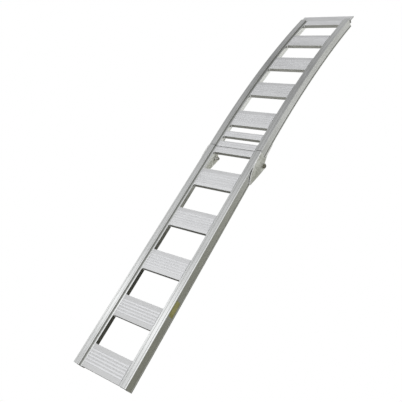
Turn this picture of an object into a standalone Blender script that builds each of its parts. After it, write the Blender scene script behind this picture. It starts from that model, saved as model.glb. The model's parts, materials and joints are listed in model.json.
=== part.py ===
"""Folding loading ramp: two welded ladder frames joined by one hinge below their rails.

Metres, +Z up. The ramp stands open like a low arch: the foot of the straight lower section is
at -Y and the tip of the arched upper section is at +Y. Both rest on the plane Z = 0, and the
origin is below the middle of the ramp. Along the ramp, distances are counted from the foot,
and heights from the top face of the straight rails.
"""

import math

import bmesh
import bpy
from mathutils import Matrix, Vector

# Overall
WIDTH = 0.300
RAIL_HEIGHT = 0.048
SEAM = 1.184
RAILS_END = 2.244
GAP = 0.0003

# Arch of the upper section
ARC_START = 1.258
ARC_RADIUS = 4.85
ARC_STEPS = 18

# Rail section: a hollow extrusion with a curb and an inner shelf that carries the treads
WALL = 0.003
CURB_WIDTH = 0.032
CURB_HEIGHT = 0.0085
WEB_WIDTH = 0.028
SHELF_WIDTH = 0.043
SHELF_BOTTOM = 0.0275
PANEL_DEPTH = 0.003
LIP_HEIGHT = 0.005
OUTER_CHAMFER = 0.002

# Treads
TREAD_WIDTH = 0.100
TREAD_THICK = 0.019
TREAD_WALL = 0.0028
RIB_PITCH = 0.013
RIB_HEIGHT = 0.0012
RIB_BASE = 0.0086
RIB_TOP = 0.0072
FIRST_FAR_EDGE = 0.103
LOWER_PITCH = 0.235
UPPER_FIRST_FAR_EDGE = 1.427
UPPER_PITCH = 0.2165
TOP_TREAD = (2.192, 2.2437)
LIP_LENGTH = 0.047
LIP_THICK = 0.006
LIP_LEG = 0.019

# Hinge
PIVOT_ALONG = 1.146
PIVOT_BELOW = 0.062
PLATE_THICK = 0.004
PLATE_LOBE = 0.020
BRACKET_LOBE = 0.0134
BOLT_RADIUS = 0.006
BOLT_CLEARANCE = 0.0004
HEAD_RADIUS = 0.0110
HEAD_HEIGHT = 0.0075
NUT_HEIGHT = 0.0108
WASHER_RADIUS = 0.0140
WASHER_THICK = 0.0025
SPACER_RADIUS = 0.0100

# Local X along the ramp, local Y up and local Z across it, turned to the ramp's own X, Y, Z
ACROSS = Matrix(((0, 0, 1, 0), (1, 0, 0, 0), (0, 1, 0, 0), (0, 0, 0, 1)))


def station(along):
    """Y, Z and slope of the rails' top face at a distance along the ramp."""
    if along <= ARC_START:
        return along, 0.0, 0.0
    turn = (along - ARC_START) / ARC_RADIUS
    return ARC_START + ARC_RADIUS * math.sin(turn), ARC_RADIUS * (math.cos(turn) - 1), turn


def resting_tilt():
    """Tilt that puts the foot's and the tip's lowest edges at one height."""
    y, z, turn = station(RAILS_END)
    y -= RAIL_HEIGHT * math.sin(turn)
    z -= RAIL_HEIGHT * math.cos(turn)
    return math.atan2(-RAIL_HEIGHT - z, y)


def clear_scene():
    for obj in list(bpy.data.objects):
        bpy.data.objects.remove(obj, do_unlink=True)


def new_collection(name):
    group = bpy.data.collections.new(name)
    bpy.context.scene.collection.children.link(group)
    return group


def material(name, colour, roughness, metallic):
    mat = bpy.data.materials.new(name)
    mat.use_nodes = True
    shader = mat.node_tree.nodes["Principled BSDF"]
    shader.inputs["Base Color"].default_value = (*colour, 1.0)
    shader.inputs["Roughness"].default_value = roughness
    shader.inputs["Metallic"].default_value = metallic
    mat.diffuse_color = (*colour, 1.0)
    return mat


def add_object(name, data, group, mat=None):
    obj = bpy.data.objects.new(name, data)
    group.objects.link(obj)
    if mat:
        data.materials.append(mat)
    return obj


def place(obj, parent, along, height, across=0.0, turn=0.0, frame=None):
    """Put an object into its section: coordinates count from the hinge axis."""
    obj.parent = parent
    shift = Matrix.Translation((across, along - PIVOT_ALONG, height + PIVOT_BELOW))
    obj.matrix_local = shift @ Matrix.Rotation(-turn, 4, "X") @ (frame or Matrix())
    return obj


def outline_curve(name, outlines, thickness):
    """Flat outline with holes, given thickness along its local Z."""
    data = bpy.data.curves.new(name, "CURVE")
    data.dimensions = "2D"
    data.fill_mode = "BOTH"
    data.extrude = thickness / 2
    for points in outlines:
        spline = data.splines.new("POLY")
        spline.points.add(len(points) - 1)
        for point, (x, y) in zip(spline.points, points):
            point.co = (x, y, 0, 1)
        spline.use_cyclic_u = True
    return data


def circle(x, y, radius, steps=32):
    angles = [2 * math.pi * k / steps for k in range(steps)]
    return [(x + radius * math.cos(a), y + radius * math.sin(a)) for a in angles]


def arc_points(radius, start, end, steps):
    """Points on a circle round the pivot, from one angle in degrees to another."""
    angles = [math.radians(start + (end - start) * k / steps) for k in range(steps + 1)]
    return [(radius * math.cos(a), radius * math.sin(a)) for a in angles]


def solid_mesh(obj):
    """A welded mesh from an object's evaluated shape."""
    graph = bpy.context.evaluated_depsgraph_get()
    mesh = bpy.data.meshes.new_from_object(obj.evaluated_get(graph))
    work = bmesh.new()
    work.from_mesh(mesh)
    bmesh.ops.remove_doubles(work, verts=work.verts, dist=0.00002)
    bmesh.ops.recalc_face_normals(work, faces=work.faces)
    work.to_mesh(mesh)
    work.free()
    return mesh


def boolean(obj, cutter, operation="DIFFERENCE"):
    step = obj.modifiers.new(cutter.name, "BOOLEAN")
    step.operation = operation
    step.object = cutter
    step.solver = "EXACT"


def as_cutter(obj):
    obj.hide_render = True
    obj.display_type = "WIRE"
    return obj


def sweep(name, outline, path, group):
    """A closed section carried along a path in the YZ plane, as a welded mesh."""
    section = outline_curve(name + "_section", [outline], 0)
    section.fill_mode = "NONE"
    profile = bpy.data.objects.new(name + "_section", section)
    group.objects.link(profile)
    data = bpy.data.curves.new(name + "_path", "CURVE")
    data.dimensions = "3D"
    data.twist_mode = "Z_UP"
    data.bevel_mode = "OBJECT"
    data.bevel_object = profile
    data.use_fill_caps = True
    spline = data.splines.new("POLY")
    spline.points.add(len(path) - 1)
    for point, (y, z) in zip(spline.points, path):
        point.co = (0, y, z, 1)
    guide = bpy.data.objects.new(name + "_path", data)
    group.objects.link(guide)
    mesh = solid_mesh(guide)
    mesh.name = name
    bpy.data.objects.remove(guide, do_unlink=True)
    bpy.data.objects.remove(profile, do_unlink=True)
    return mesh


def rail_outline(side):
    """Outside of the rail's section; side -1 is the left rail and 1 the right one."""
    points = [
        (0, -OUTER_CHAMFER),
        (OUTER_CHAMFER, 0),
        (CURB_WIDTH, 0),
        (CURB_WIDTH, -CURB_HEIGHT),
        (SHELF_WIDTH, -CURB_HEIGHT),
        (SHELF_WIDTH, -SHELF_BOTTOM),
        (WEB_WIDTH, -SHELF_BOTTOM),
        (WEB_WIDTH, -RAIL_HEIGHT),
        (0, -RAIL_HEIGHT),
        (0, -RAIL_HEIGHT + LIP_HEIGHT),
        (PANEL_DEPTH, -RAIL_HEIGHT + LIP_HEIGHT + 0.001),
        (PANEL_DEPTH, -LIP_HEIGHT - 0.001),
        (0, -LIP_HEIGHT),
    ]
    return [(side * (WIDTH / 2 - x), y) for x, y in points]


def rail_hollow(side):
    """Inside of the rail's section, open at both ends of the rail."""
    points = [
        (PANEL_DEPTH + WALL, -WALL),
        (CURB_WIDTH - WALL, -WALL),
        (CURB_WIDTH - WALL, -CURB_HEIGHT - WALL),
        (SHELF_WIDTH - WALL, -CURB_HEIGHT - WALL),
        (SHELF_WIDTH - WALL, -SHELF_BOTTOM + WALL),
        (WEB_WIDTH - WALL, -SHELF_BOTTOM + WALL),
        (WEB_WIDTH - WALL, -RAIL_HEIGHT + WALL),
        (PANEL_DEPTH + WALL, -RAIL_HEIGHT + WALL),
    ]
    return [(side * (WIDTH / 2 - x), y) for x, y in points]


def rail_path(start, end, reach=0.0):
    """Path of the rails' top face, each end drawn out by reach for a cutter."""
    stops = [start, end]
    if end > ARC_START:
        arc = [ARC_START + (end - ARC_START) * k / ARC_STEPS for k in range(ARC_STEPS + 1)]
        stops = [start] + arc
    path = [station(s)[:2] for s in stops]
    turn = station(end)[2]
    if reach:
        path[0] = (path[0][0] - reach, path[0][1])
        last = path[-1]
        path[-1] = (last[0] + reach * math.cos(turn), last[1] - reach * math.sin(turn))
    return path


def make_rail(name, side, start, end, parent, mat, parts, cutters):
    rail = add_object(name, sweep(name, rail_outline(side), rail_path(start, end), parts), parts, mat)
    hollow_mesh = sweep(name + "_hollow", rail_hollow(side), rail_path(start, end, 0.02), parts)
    hollow = as_cutter(add_object(name + "_hollow", hollow_mesh, cutters))
    place(rail, parent, 0, 0)
    place(hollow, parent, 0, 0)
    boolean(rail, hollow)
    return rail


def tread_outlines(width, thick, ribs, cells):
    """Section of a hollow tread with ribs on top; its top face is at height 0."""
    half = width / 2
    top = []
    for k in range(ribs):
        middle = ((ribs - 1) / 2 - k) * RIB_PITCH
        top += [
            (middle + RIB_BASE / 2, 0),
            (middle + RIB_TOP / 2, RIB_HEIGHT),
            (middle - RIB_TOP / 2, RIB_HEIGHT),
            (middle - RIB_BASE / 2, 0),
        ]
    edge = 0.0012
    outside = [(half - edge, 0)] + top + [(-half + edge, 0), (-half, -edge)]
    outside += [(-half, -thick), (half, -thick), (half, -edge)]
    inside = (width - (cells + 1) * TREAD_WALL) / cells
    holes = []
    for k in range(cells):
        left = -half + TREAD_WALL + k * (inside + TREAD_WALL)
        right = left + inside
        low, high = -thick + TREAD_WALL, -TREAD_WALL
        holes.append([(left, low), (right, low), (right, high), (left, high)])
    return [outside] + holes


def make_tread(name, near, far, ribs, cells, parent, mat, parts):
    """A crossbar between the rails' shelves, from its near to its far edge along the ramp."""
    length = WIDTH - 2 * (SHELF_WIDTH + GAP)
    curve = outline_curve(name, tread_outlines(far - near, TREAD_THICK, ribs, cells), length)
    tread = add_object(name, curve, parts, mat)
    y, z, turn = station((near + far) / 2)
    y -= CURB_HEIGHT * math.sin(turn)
    z -= CURB_HEIGHT * math.cos(turn)
    return place(tread, parent, y, z, 0, turn, ACROSS)


def make_lip(name, parent, mat, parts):
    """The unequal angle across the tip: its long leg lies on the tailgate."""
    nose = 0.003
    outline = [
        (GAP, 0),
        (GAP, -LIP_LEG),
        (0.005, -LIP_LEG),
        (0.005, -LIP_THICK),
        (LIP_LENGTH - nose, -LIP_THICK),
        (LIP_LENGTH, -LIP_THICK + nose / 2),
        (LIP_LENGTH, -nose),
        (LIP_LENGTH - nose, 0),
    ]
    lip = add_object(name, outline_curve(name, [outline], WIDTH), parts, mat)
    y, z, turn = station(RAILS_END)
    y -= CURB_HEIGHT * math.sin(turn)
    z -= CURB_HEIGHT * math.cos(turn)
    return place(lip, parent, y, z, 0, turn, ACROSS)


def outer_plate_outline():
    """Dart-shaped hinge plate on the outside of the lower rail, counted from the pivot."""
    lobe = arc_points(PLATE_LOBE, -106, 6, 14)
    top = [(0.032, 0.012), (0.032, 0.056), (0.029, 0.059), (-0.018, 0.059)]
    slope = [(-0.040, 0.0565), (-0.072, 0.048), (-0.101, 0.035), (-0.125, 0.013)]
    return [(-0.092, 0.004), (-0.066, -0.004)] + lobe + top + slope


def inner_plate_outline():
    """Matching plate on the inside of the lower rail, kept below the shelf."""
    lobe = arc_points(PLATE_LOBE, -106, 6, 14)
    top = [(0.030, 0.012), (0.030, 0.0290), (0.027, 0.0320), (-0.098, 0.0320)]
    return [(-0.092, 0.004), (-0.066, -0.004)] + lobe + top + [(-0.125, 0.013)]


def bracket_outline():
    """Side view of the bracket under the upper rail, counted from the pivot."""
    under_rail = PIVOT_BELOW - RAIL_HEIGHT - GAP
    lobe = arc_points(BRACKET_LOBE, 115, 285, 16)
    return lobe + [(0.058, 0.0080), (0.120, 0.0102), (0.122, under_rail), (0.004, under_rail)]


def make_plate(name, outline, across, parent, mat, parts):
    hole = circle(0, 0, BOLT_RADIUS + BOLT_CLEARANCE)
    plate = add_object(name, outline_curve(name, [outline, hole], PLATE_THICK), parts, mat)
    return place(plate, parent, PIVOT_ALONG, -PIVOT_BELOW, across, 0, ACROSS)


def primitive_box(name, low, high, group):
    work = bmesh.new()
    bmesh.ops.create_cube(work, size=1)
    size = [b - a for a, b in zip(low, high)]
    middle = [(a + b) / 2 for a, b in zip(low, high)]
    bmesh.ops.scale(work, vec=size, verts=work.verts)
    bmesh.ops.translate(work, vec=middle, verts=work.verts)
    mesh = bpy.data.meshes.new(name)
    work.to_mesh(mesh)
    work.free()
    return add_object(name, mesh, group)


def cylinder(name, radius, start, end, steps, group, mat=None):
    """A cylinder or prism along X between two positions across the ramp."""
    work = bmesh.new()
    bmesh.ops.create_cone(
        work, cap_ends=True, segments=steps, radius1=radius, radius2=radius, depth=abs(end - start)
    )
    turn = Matrix.Translation(((start + end) / 2, 0, 0)) @ Matrix.Rotation(math.pi / 2, 4, "Y")
    bmesh.ops.transform(work, matrix=turn, verts=work.verts)
    mesh = bpy.data.meshes.new(name)
    work.to_mesh(mesh)
    work.free()
    obj = add_object(name, mesh, group, mat)
    if steps > 6:
        mesh.shade_smooth()
        mesh.set_sharp_from_angle(angle=math.radians(40))
    return obj


def make_bracket(name, side, parent, mat, parts, cutters):
    """Channel under the upper rail: two cheeks that hang from a web, with the pivot hole."""
    width = WEB_WIDTH
    flat = add_object(name + "_outline", outline_curve(name, [bracket_outline()], width), cutters)
    mesh = solid_mesh(flat)
    mesh.name = name
    bpy.data.objects.remove(flat, do_unlink=True)
    bracket = add_object(name, mesh, parts, mat)
    across = side * (WIDTH / 2 - width / 2)
    place(bracket, parent, PIVOT_ALONG, -PIVOT_BELOW, across, 0, ACROSS)
    cheek = 0.0048
    web = PIVOT_BELOW - RAIL_HEIGHT - GAP - 0.0036
    low = (-width / 2 + cheek, -0.03, -0.03)
    high = (width / 2 - cheek, 0.13, web)
    channel = as_cutter(primitive_box(name + "_channel", low, high, cutters))
    hole = cylinder(name + "_hole", BOLT_RADIUS + BOLT_CLEARANCE, -0.02, 0.02, 32, cutters)
    for cutter in (channel, as_cutter(hole)):
        place(cutter, parent, PIVOT_ALONG, -PIVOT_BELOW, across)
        boolean(bracket, cutter)
    return bracket


def make_ring(name, radius, bore, start, end, parent, mat, parts):
    """A washer or spacer on the pivot, turned from its section."""
    work = bmesh.new()
    low, high = sorted((start, end))
    points = [(radius, 0, high), (radius, 0, low), (bore, 0, low), (bore, 0, high)]
    corners = [work.verts.new(p) for p in points]
    for k in range(4):
        work.edges.new((corners[k], corners[(k + 1) % 4]))
    mesh = bpy.data.meshes.new(name)
    work.to_mesh(mesh)
    work.free()
    ring = add_object(name, mesh, parts, mat)
    turned = ring.modifiers.new("turned", "SCREW")
    turned.steps = 32
    turned.render_steps = 32
    turned.use_merge_vertices = True
    turned.merge_threshold = 0.00005
    turned.use_smooth_shade = False
    axis = Matrix.Rotation(math.pi / 2, 4, "Y")
    return place(ring, parent, PIVOT_ALONG, -PIVOT_BELOW, 0, 0, axis)


def make_pivot(side, lower, upper, mats, parts, cutters):
    """Bolt, nut, washers and spacer of one side, stacked outwards from the rail."""
    label = "left" if side < 0 else "right"

    def across(inward):
        return side * (WIDTH / 2 - inward)

    outer = -GAP - PLATE_THICK - GAP
    inner = WEB_WIDTH + GAP + PLATE_THICK + GAP
    head = outer - WASHER_THICK - GAP
    nut = inner + WASHER_THICK + GAP
    bore = BOLT_RADIUS + BOLT_CLEARANCE
    make_ring(
        f"pivot_{label}_head_washer", WASHER_RADIUS, bore, across(outer - WASHER_THICK),
        across(outer), lower, mats["steel"], parts,
    )
    make_ring(
        f"pivot_{label}_nut_washer", WASHER_RADIUS, bore, across(inner),
        across(inner + WASHER_THICK), lower, mats["steel"], parts,
    )
    make_ring(
        f"pivot_{label}_spacer", SPACER_RADIUS, bore, across(0.0048 + GAP),
        across(WEB_WIDTH - 0.0048 - GAP), upper, mats["steel"], parts,
    )
    bolt = cylinder(
        f"pivot_{label}_bolt", HEAD_RADIUS, across(head - HEAD_HEIGHT), across(head), 6, parts,
        mats["steel"],
    )
    shank = cylinder(
        f"pivot_{label}_shank", BOLT_RADIUS, across(head - 0.004),
        across(nut + NUT_HEIGHT + 0.003), 32, cutters,
    )
    place(bolt, lower, PIVOT_ALONG, -PIVOT_BELOW)
    place(as_cutter(shank), lower, PIVOT_ALONG, -PIVOT_BELOW)
    boolean(bolt, shank, "UNION")
    nut_body = cylinder(
        f"pivot_{label}_nut", HEAD_RADIUS, across(nut), across(nut + NUT_HEIGHT), 6, parts,
        mats["steel"],
    )
    nut_hole = cylinder(
        f"pivot_{label}_nut_hole", bore, across(nut - 0.002), across(nut + NUT_HEIGHT + 0.002), 32,
        cutters,
    )
    place(nut_body, lower, PIVOT_ALONG, -PIVOT_BELOW)
    place(as_cutter(nut_hole), lower, PIVOT_ALONG, -PIVOT_BELOW)
    boolean(nut_body, nut_hole)


def main():
    clear_scene()
    parts = new_collection("folding_loading_ramp")
    cutters = new_collection("cutters")
    mats = {
        "rail": material("rail_aluminium", (0.56, 0.57, 0.56), 0.38, 0.9),
        "tread": material("tread_aluminium", (0.62, 0.63, 0.62), 0.42, 0.9),
        "plate": material("hinge_plate_aluminium", (0.50, 0.51, 0.48), 0.45, 0.9),
        "steel": material("zinc_plated_steel", (0.55, 0.55, 0.52), 0.32, 1.0),
    }

    # The stand holds the lower section in its resting tilt; the fold empty is on the hinge axis
    tilt = resting_tilt()
    turned = Matrix.Rotation(tilt, 4, "X")
    foot_top = turned @ Vector((0, -PIVOT_ALONG, PIVOT_BELOW))
    foot_low = turned @ Vector((0, -PIVOT_ALONG, PIVOT_BELOW - RAIL_HEIGHT))
    y, z, turn = station(RAILS_END)
    tip_y = y + LIP_LENGTH * math.cos(turn) - (CURB_HEIGHT + 0.003) * math.sin(turn)
    tip_z = z - LIP_LENGTH * math.sin(turn) - (CURB_HEIGHT + 0.003) * math.cos(turn)
    tip = turned @ Vector((0, tip_y - PIVOT_ALONG, tip_z + PIVOT_BELOW))
    lower = bpy.data.objects.new("lower_section", None)
    upper = bpy.data.objects.new("upper_section_fold_axis", None)
    for empty in (lower, upper):
        parts.objects.link(empty)
        empty.empty_display_size = 0.1
    lower.matrix_world = Matrix.Translation((0, -(foot_top.y + tip.y) / 2, -foot_low.z)) @ turned
    upper.parent = lower
    bpy.context.view_layer.update()

    # Lower section: straight frame with the first tread flush with the foot
    for side, label in ((-1, "left"), (1, "right")):
        make_rail(
            f"lower_{label}_rail", side, 0, SEAM - GAP / 2, lower, mats["rail"], parts, cutters
        )
    for k in range(5):
        far = FIRST_FAR_EDGE + k * LOWER_PITCH
        near = 0.001 if k == 0 else far - TREAD_WIDTH
        make_tread(f"lower_tread_{k + 1}", near, far, 5, 3, lower, mats["tread"], parts)
    make_tread(
        "lower_hinge_bar", 1.146, SEAM - GAP / 2, 2, 1, lower, mats["tread"], parts
    )

    # Upper section: straight for a hand's width, then arched down to the tip
    for side, label in ((-1, "left"), (1, "right")):
        make_rail(
            f"upper_{label}_rail", side, SEAM + GAP / 2, RAILS_END, upper, mats["rail"], parts,
            cutters,
        )
    make_tread("upper_hinge_bar", SEAM + GAP / 2, 1.220, 2, 1, upper, mats["tread"], parts)
    make_tread("upper_grab_bar", 1.250, 1.285, 2, 1, upper, mats["tread"], parts)
    for k in range(4):
        far = UPPER_FIRST_FAR_EDGE + k * UPPER_PITCH
        make_tread(
            f"upper_tread_{k + 1}", far - TREAD_WIDTH, far, 5, 3, upper, mats["tread"], parts
        )
    make_tread("top_tread", *TOP_TREAD, 3, 2, upper, mats["tread"], parts)
    make_lip("lip_angle", upper, mats["tread"], parts)

    # Hinge, one set on each side
    for side, label in ((-1, "left"), (1, "right")):
        outer = side * (WIDTH / 2 + GAP + PLATE_THICK / 2)
        inner = side * (WIDTH / 2 - WEB_WIDTH - GAP - PLATE_THICK / 2)
        outline = outer_plate_outline()
        make_plate(f"hinge_{label}_outer_plate", outline, outer, lower, mats["plate"], parts)
        outline = inner_plate_outline()
        make_plate(f"hinge_{label}_inner_plate", outline, inner, lower, mats["plate"], parts)
        make_bracket(f"hinge_{label}_bracket", side, upper, mats["plate"], parts, cutters)
        make_pivot(side, lower, upper, mats, parts, cutters)


main()
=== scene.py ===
"""Folding loading ramp: two welded ladder frames of drawn aluminium with a hinge on each side.

Sizes are in metres. Each section is drawn flat first: X across the ramp, Y along it from the
foot, Z up from the rails' top face. One matrix then stands the work on the floor.
"""

import json
import math

import bmesh
import bpy
from mathutils import Matrix, Vector


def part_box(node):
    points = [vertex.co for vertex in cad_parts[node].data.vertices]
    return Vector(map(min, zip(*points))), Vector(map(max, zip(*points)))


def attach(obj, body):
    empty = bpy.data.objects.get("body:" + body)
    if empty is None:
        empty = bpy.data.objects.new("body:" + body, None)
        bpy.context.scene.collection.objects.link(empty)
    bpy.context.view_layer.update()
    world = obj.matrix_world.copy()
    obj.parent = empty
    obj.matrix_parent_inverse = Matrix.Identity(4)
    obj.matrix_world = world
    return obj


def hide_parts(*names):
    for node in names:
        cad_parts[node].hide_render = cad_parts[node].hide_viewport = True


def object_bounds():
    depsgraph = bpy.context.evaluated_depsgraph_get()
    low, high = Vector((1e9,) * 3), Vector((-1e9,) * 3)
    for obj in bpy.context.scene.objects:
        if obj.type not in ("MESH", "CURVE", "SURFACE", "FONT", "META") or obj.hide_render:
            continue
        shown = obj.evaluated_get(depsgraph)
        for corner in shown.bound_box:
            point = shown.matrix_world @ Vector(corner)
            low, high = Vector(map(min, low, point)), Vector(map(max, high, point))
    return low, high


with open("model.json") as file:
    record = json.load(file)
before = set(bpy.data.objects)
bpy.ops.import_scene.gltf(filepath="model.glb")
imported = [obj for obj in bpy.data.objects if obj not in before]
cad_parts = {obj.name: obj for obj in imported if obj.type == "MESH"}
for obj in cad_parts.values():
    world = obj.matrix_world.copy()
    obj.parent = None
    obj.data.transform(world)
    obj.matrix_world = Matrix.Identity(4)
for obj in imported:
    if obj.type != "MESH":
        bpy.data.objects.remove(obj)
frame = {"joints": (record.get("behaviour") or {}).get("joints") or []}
cad_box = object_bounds()


# Standing ramp. The foot and the tip rest on the floor and the hinge is the highest point, so
# the straight lower frame leans by a small angle about the hinge bolts.
WIDTH = 0.300
RAIL_HEIGHT = 0.048
SEAM = 1.184
GAP = 0.0003
PIVOT_ALONG = 1.146
PIVOT_BELOW = 0.062
lower_length = SEAM - GAP / 2
rail_low, rail_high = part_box("lower_left_rail")
lean = math.asin((rail_high.z - rail_low.z) / math.hypot(lower_length, RAIL_HEIGHT))
lean -= math.atan2(RAIL_HEIGHT, lower_length)
pivot = Vector(frame["joints"][0]["pos_m"])
standing = Matrix.Translation(pivot) @ Matrix.Rotation(lean, 4, "X")
standing = standing @ Matrix.Translation((0, -PIVOT_ALONG, PIVOT_BELOW))


def add_object(name, data):
    """A new object in the scene."""
    added = bpy.data.objects.new(name, data)
    bpy.context.scene.collection.objects.link(added)
    return added


# Camera: a normal lens that looks down on the ramp from the right of its foot.
camera_data = bpy.data.cameras.new("camera")
camera_data.lens = 48.95
camera_data.sensor_width = 36
camera = add_object("camera", camera_data)
sideways = Vector((0.78585, 0.47336, -0.39793)).normalized()
backward = sideways.cross(Vector((-0.17508, 0.78747, 0.59094))).normalized()
upward = backward.cross(sideways)
aim = Matrix((sideways, upward, backward)).transposed().to_4x4()
camera.matrix_world = standing @ Matrix.Translation((1.458, -0.1179, 1.7343)) @ aim
bpy.context.scene.camera = camera
bpy.context.scene.view_settings.view_transform = "Standard"


class Value:
    """A socket's value, so that sums in a node tree read as plain arithmetic."""

    def __init__(self, tree, socket):
        self.tree = tree
        self.socket = socket

    def maths(self, operation, *others):
        return self.tree.add(
            "ShaderNodeMath", dict(enumerate((self, *others))), operation=operation
        )

    def turned(self, operation, other):
        return self.tree.add("ShaderNodeMath", {0: other, 1: self}, operation=operation)

    def __add__(self, other):
        return self.maths("ADD", other)

    def __radd__(self, other):
        return self.turned("ADD", other)

    def __sub__(self, other):
        return self.maths("SUBTRACT", other)

    def __mul__(self, other):
        return self.maths("MULTIPLY", other)

    def __gt__(self, other):
        return self.maths("GREATER_THAN", other)


class Tree:
    """A node tree under construction; add() makes a node, sets it up and fills its sockets."""

    def __init__(self, tree):
        self.tree = tree

    def add(self, kind, sockets=None, output=0, stops=None, **settings):
        node = self.tree.nodes.new(kind)
        for name, setting in settings.items():
            setattr(node, name, setting)
        if stops:
            shades = node.color_ramp.elements
            while len(shades) < len(stops):
                shades.new(1.0)
            for element, (place, colour) in zip(shades, stops):
                element.position = place
                element.color = colour
        for name, value in (sockets or {}).items():
            self.fill(node.inputs[name], value)
        return Value(self, node.outputs[output])

    def fill(self, socket, value):
        if isinstance(value, Value):
            self.tree.links.new(value.socket, socket)
        else:
            socket.default_value = value

    def step(self, value, low, high):
        """Smooth rise from 0 at low to 1 at high."""
        sockets = {0: value, 1: low, 2: high}
        return self.add("ShaderNodeMapRange", sockets, interpolation_type="SMOOTHSTEP")

    def mix(self, amount, first, second):
        sockets = {0: amount, 6: first, 7: second}
        return self.add("ShaderNodeMix", sockets, 2, data_type="RGBA")

    def noise(self, place, scale, detail=2.0, roughness=0.5, distortion=0.0):
        """Noise with its own scale along each axis of place."""
        stretched = self.add(
            "ShaderNodeVectorMath", {0: place, 1: scale}, operation="MULTIPLY"
        )
        sockets = {
            "Vector": stretched,
            "Scale": 1.0,
            "Detail": detail,
            "Roughness": roughness,
            "Distortion": distortion,
        }
        return self.add("ShaderNodeTexNoise", sockets)


class Finish(Tree):
    """A material; dress() fills the surface shader's sockets."""

    def __init__(self, name):
        self.material = bpy.data.materials.new(name)
        self.material.use_nodes = True
        super().__init__(self.material.node_tree)
        self.shader = self.tree.nodes["Principled BSDF"]

    def dress(self, sockets):
        for name, value in sockets.items():
            self.fill(self.shader.inputs[name], value)
        return self.material

    def bump(self, height, strength, distance):
        sockets = {"Height": height, "Strength": strength, "Distance": distance}
        return self.add("ShaderNodeBump", sockets)


# Studio: a plain floor inside a seamless white backdrop, and one broad soft light overhead with a
# narrow bright strip at its left, which fades towards the tip. The floor gives the metal its
# darker reflections, and lies low enough for the upper section when it is folded underneath.
FLOOR_DROP = 0.085
FLOOR_REACH = 30.0
BACKDROP_RADIUS = 60.0
SQUARE = ((-1, -1), (1, -1), (1, 1), (-1, 1))
floor_paint = Finish("floor_paint")
floor_place = floor_paint.add("ShaderNodeTexCoord", output="Object")
floor_across, floor_along = (
    floor_paint.add("ShaderNodeSeparateXYZ", {0: floor_place}, axis) for axis in (0, 1)
)
reach = floor_paint.add("ShaderNodeMapRange", {0: floor_along, 1: -1.2, 2: 1.2})
toned = floor_paint.add(
    "ShaderNodeValToRGB",
    {0: reach},
    stops=[
        (0.0, (0.35, 0.35, 0.29, 1)),
        (0.30, (0.43, 0.43, 0.37, 1)),
        (0.43, (0.52, 0.52, 0.46, 1)),
        (0.55, (0.72, 0.72, 0.68, 1)),
        (0.70, (0.94, 0.94, 0.91, 1)),
        (0.92, (0.84, 0.84, 0.80, 1)),
    ],
)
# Under the ramp the floor carries a painted shadow, darkest towards the foot, and a painted glow
# from the hinge on towards the tip. Only the metal's reflections show them.
beneath = floor_paint.step((floor_across + 0.04).maths("ABSOLUTE"), 0.235, 0.200)
painted_shadow = beneath * floor_paint.step(floor_along, -0.22, -0.58) * 0.82
toned = floor_paint.mix(painted_shadow, toned, (0.06, 0.06, 0.045, 1))
painted_glow = beneath * floor_paint.step(floor_along, -0.22, 0.12) * 0.30
floor_paint.dress(
    {
        "Base Color": toned,
        "Roughness": 0.9,
        "Specular IOR Level": 0.0,
        "Emission Color": floor_paint.mix(painted_glow, (0, 0, 0, 1), (1, 1, 0.96, 1)),
        "Emission Strength": 1.0,
    }
)
floor_paint.material.cycles.emission_sampling = "NONE"
floor_mesh = bpy.data.meshes.new("studio_floor")
floor_corners = [(x * FLOOR_REACH, y * FLOOR_REACH, 0) for x, y in SQUARE]
floor_mesh.from_pydata(floor_corners, [], [(0, 1, 2, 3)])
floor_mesh.transform(Matrix.Translation((0, 0, cad_box[0].z - FLOOR_DROP)))
floor_mesh.materials.append(floor_paint.material)
floor = add_object("studio_floor", floor_mesh)
floor.visible_camera = False
backdrop_paint = Finish("backdrop_paint")
backdrop_paint.dress(
    {
        "Base Color": (0, 0, 0, 1),
        "Specular IOR Level": 0.0,
        "Emission Color": (1, 1, 1, 1),
        "Emission Strength": 1.0,
    }
)
backdrop_paint.material.cycles.emission_sampling = "NONE"
work = bmesh.new()
bmesh.ops.create_icosphere(work, subdivisions=4, radius=BACKDROP_RADIUS)
backdrop_mesh = bpy.data.meshes.new("studio_backdrop")
work.to_mesh(backdrop_mesh)
work.free()
backdrop_mesh.materials.append(backdrop_paint.material)
backdrop = add_object("studio_backdrop", backdrop_mesh)
backdrop.visible_diffuse = False
backdrop.visible_glossy = False
backdrop.visible_transmission = False
backdrop.visible_shadow = False

world = bpy.data.worlds.new("studio_light")
world.use_nodes = True
bpy.context.scene.world = world
sky = Tree(world.node_tree)
look = sky.add("ShaderNodeTexCoord", output="Generated")


def towards(direction):
    """How far the line of sight leans to a direction given in the ramp's own axes."""
    axis = tuple((standing.to_3x3() @ Vector(direction)).normalized())
    return sky.add("ShaderNodeVectorMath", {0: look, 1: axis}, "Value", operation="DOT_PRODUCT")


tipwards = towards((0, 1, 0))
overhead = towards((0, 0, 1))
strip_side = towards((-0.63, 0.17, 0.757))
glow = 0.36 + sky.step(tipwards, 0.72, 0.58) * 0.13 + sky.step(tipwards, 0.50, 0.41) * 0.22
glow = glow + sky.step(overhead, 0.80, 0.96) * 0.55 + sky.step(tipwards, 0.79, 0.85) * 0.20
strip = sky.step((tipwards - 0.172).maths("ABSOLUTE"), 0.06, 0.01)
glow = glow + strip * sky.step(strip_side, math.cos(0.34), math.cos(0.17)) * 1.10
dusk = sky.step(tipwards, -0.30, -0.62) * sky.step(overhead, 0.62, 0.30)
glow = glow - dusk * 0.34
sky.fill(sky.tree.nodes["Background"].inputs["Strength"], glow)
sky.fill(sky.tree.nodes["Background"].inputs["Color"], (1.0, 1.0, 1.0, 1))


# Points nearer to each other than this are joined into one
MERGE_DISTANCE = 0.00001


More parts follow.
